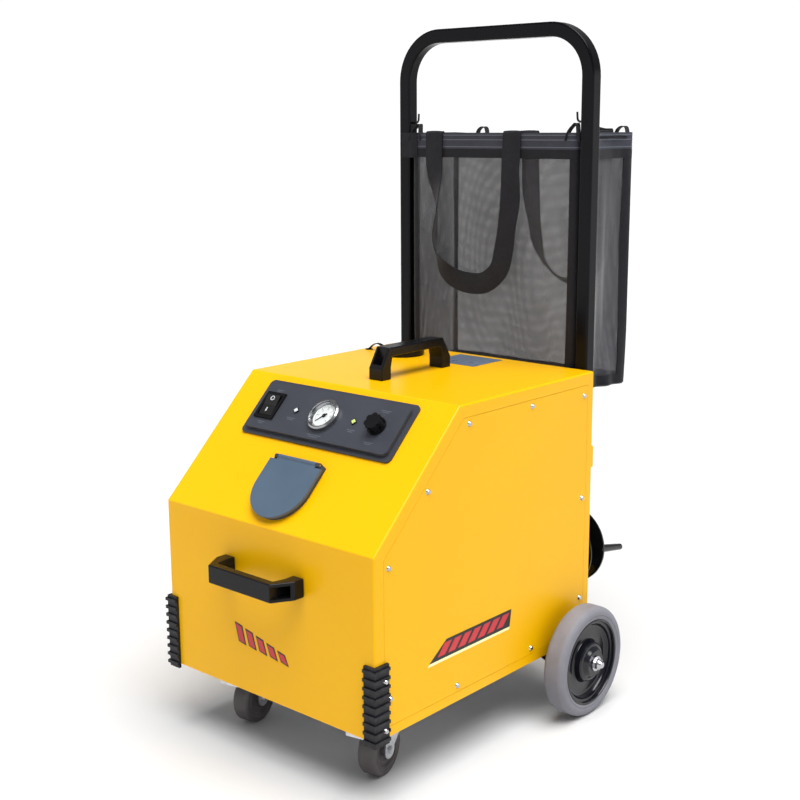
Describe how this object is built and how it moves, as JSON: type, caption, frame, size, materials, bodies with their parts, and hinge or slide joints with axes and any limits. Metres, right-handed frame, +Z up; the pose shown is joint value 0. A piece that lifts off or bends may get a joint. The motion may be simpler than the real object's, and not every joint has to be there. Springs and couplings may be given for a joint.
{
  "type": "commercial steam cleaner",
  "caption": "Wheeled steam cleaner: a boxy metal housing with a sloping control face, push handle, open mesh bag, cord reel, rear wheels and braked front casters.",
  "frame": {"origin": "on the ground, under the middle of the whole machine's bounding box", "axes": "+Z up, +X to the right of someone facing the front, +Y to the rear, so that the front face looks along -Y"},
  "size_m": [0.536, 0.665, 1.01],
  "materials": {
    "yellow_paint": "satin powder coat",
    "inner_steel": "galvanised sheet",
    "grey_panel": "fine-textured slate grey moulding",
    "blue_grey": "fine-textured blue-grey moulding",
    "black_plastic": "satin black moulding",
    "black_gloss": "glossy black",
    "tube_paint": "glossy blue-black powder coat",
    "chrome": "bright plated",
    "zinc": "zinc plated",
    "steel": "brushed",
    "dial": "white enamel with black graduations",
    "lens": "clear",
    "lamp": "translucent lens",
    "tyre_grey": "grey non-marking rubber",
    "rim_black": "glossy black moulded rim",
    "caster_grey": "warm dark grey rubber",
    "mesh_black": "open black mesh",
    "webbing": "black polypropylene webbing",
    "label": "blank plate",
    "brass": "machined",
    "copper": "drawn tube",
    "white_plastic": "translucent white moulding"
  },
  "bodies": {
    "chassis": {"base_tray": "inner_steel", "outer_cover": "yellow_paint", "side_panel_left": "yellow_paint", "side_panel_right": "yellow_paint", "rear_panel": "yellow_paint", "cover_screws": "chrome", "front_handle": "black_plastic", "top_handle": "black_plastic", "corner_guards": "black_plastic", "trim_screws": "chrome", "panel_bezel": "grey_panel", "rocker_housing": "black_plastic", "gauge_case": "chrome", "gauge_dial": "dial", "gauge_lens": "lens", "steam_valve": "brass", "indicator_lamps": "lamp", "outlet_frame": "grey_panel", "flap_hinge_pin": "steel", "steam_outlet_socket": "black_plastic", "filler_neck": "black_plastic", "cap_tether": "black_plastic", "blank_plates": "label", "cart_handle": "tube_paint", "handle_mount_straps": "yellow_paint", "handle_bolts": "chrome", "bag_hooks": "zinc", "reel_bracket": "black_plastic", "rear_axle": "chrome", "axle_brackets": "black_plastic", "caster_mount_plates": "zinc", "boiler": "steel", "heating_element": "copper", "water_tank": "white_plastic", "pump": "black_plastic", "control_box": "black_plastic", "power_inlet": "black_plastic", "pipework": "copper"},
    "power_rocker": {"power_rocker": "black_gloss"},
    "steam_knob": {"steam_knob": "black_plastic"},
    "gauge_needle": {"gauge_needle": "black_gloss"},
    "outlet_flap": {"outlet_flap": "blue_grey"},
    "filler_cap": {"filler_cap": "black_plastic"},
    "bag": {"bag": "mesh_black", "bag_strap_front": "webbing", "bag_strap_rear": "webbing", "bag_rim_wire": "steel"},
    "cord_reel": {"cord_reel": "black_gloss"},
    "rear_wheel_left": {"rear_tyre_left": "tyre_grey", "rear_rim_left": "rim_black"},
    "rear_wheel_right": {"rear_tyre_right": "tyre_grey", "rear_rim_right": "rim_black"},
    "caster_fork_left": {"caster_fork_left": "zinc"},
    "caster_fork_right": {"caster_fork_right": "zinc"},
    "caster_wheel_left": {"caster_core_left": "caster_grey", "caster_tyre_left": "caster_grey"},
    "caster_wheel_right": {"caster_core_right": "caster_grey", "caster_tyre_right": "caster_grey"},
    "brake_pedal_left": {"brake_pedal_left": "zinc"},
    "brake_pedal_right": {"brake_pedal_right": "zinc"}
  },
  "joints": [
    {"name": "power_rocker_press", "type": "hinge", "parent": "chassis", "child": "power_rocker", "pos_m": [-0.1085, -0.16494, 0.47187], "axis": [-1, 0, 0], "range_deg": [0, 10]},
    {"name": "steam_knob_turn", "type": "hinge", "parent": "chassis", "child": "steam_knob", "pos_m": [0.098, -0.16564, 0.47259], "axis": [0, -0.6986, 0.7155], "range_deg": [0, 270]},
    {"name": "gauge_needle_sweep", "type": "hinge", "parent": "chassis", "child": "gauge_needle", "pos_m": [0, -0.16843, 0.47545], "axis": [0, 0.6986, -0.7155], "range_deg": [0, 270]},
    {"name": "outlet_flap_hinge", "type": "hinge", "parent": "chassis", "child": "outlet_flap", "pos_m": [0, -0.2186, 0.42019], "axis": [-1, 0, 0], "range_deg": [0, 110]},
    {"name": "filler_cap_lift", "type": "slide", "parent": "chassis", "child": "filler_cap", "axis": [0, 0, 1], "range_m": [0, 0.06]},
    {"name": "bag_lift_off", "type": "slide", "parent": "chassis", "child": "bag", "axis": [0, 0.7071, 0.7071], "range_m": [0, 0.12]},
    {"name": "reel_spin", "type": "hinge", "parent": "chassis", "child": "cord_reel", "pos_m": [0.123, 0.196, 0.211], "axis": [0, 1, 0], "continuous": true},
    {"name": "rear_wheel_left_roll", "type": "hinge", "parent": "chassis", "child": "rear_wheel_left", "pos_m": [-0.22, 0.136, 0.083], "axis": [1, 0, 0], "continuous": true},
    {"name": "rear_wheel_right_roll", "type": "hinge", "parent": "chassis", "child": "rear_wheel_right", "pos_m": [0.22, 0.136, 0.083], "axis": [1, 0, 0], "continuous": true},
    {"name": "caster_swivel_left", "type": "hinge", "parent": "chassis", "child": "caster_fork_left", "pos_m": [-0.125, -0.176, 0.083], "axis": [0, 0, 1], "continuous": true},
    {"name": "caster_roll_left", "type": "hinge", "parent": "caster_fork_left", "child": "caster_wheel_left", "pos_m": [-0.11942, -0.20344, 0.0375], "axis": [0.9799, 0.1994, 0], "continuous": true},
    {"name": "brake_pedal_left_press", "type": "hinge", "parent": "caster_fork_left", "child": "brake_pedal_left", "pos_m": [-0.11962, -0.20246, 0.0805], "axis": [0.9799, 0.1994, 0], "range_deg": [0, 6]},
    {"name": "caster_swivel_right", "type": "hinge", "parent": "chassis", "child": "caster_fork_right", "pos_m": [0.125, -0.176, 0.083], "axis": [0, 0, 1], "continuous": true},
    {"name": "caster_roll_right", "type": "hinge", "parent": "caster_fork_right", "child": "caster_wheel_right", "pos_m": [0.13058, -0.20344, 0.0375], "axis": [0.9799, 0.1994, 0], "continuous": true},
    {"name": "brake_pedal_right_press", "type": "hinge", "parent": "caster_fork_right", "child": "brake_pedal_right", "pos_m": [0.13038, -0.20246, 0.0805], "axis": [0.9799, 0.1994, 0], "range_deg": [0, 6]}
  ]
}
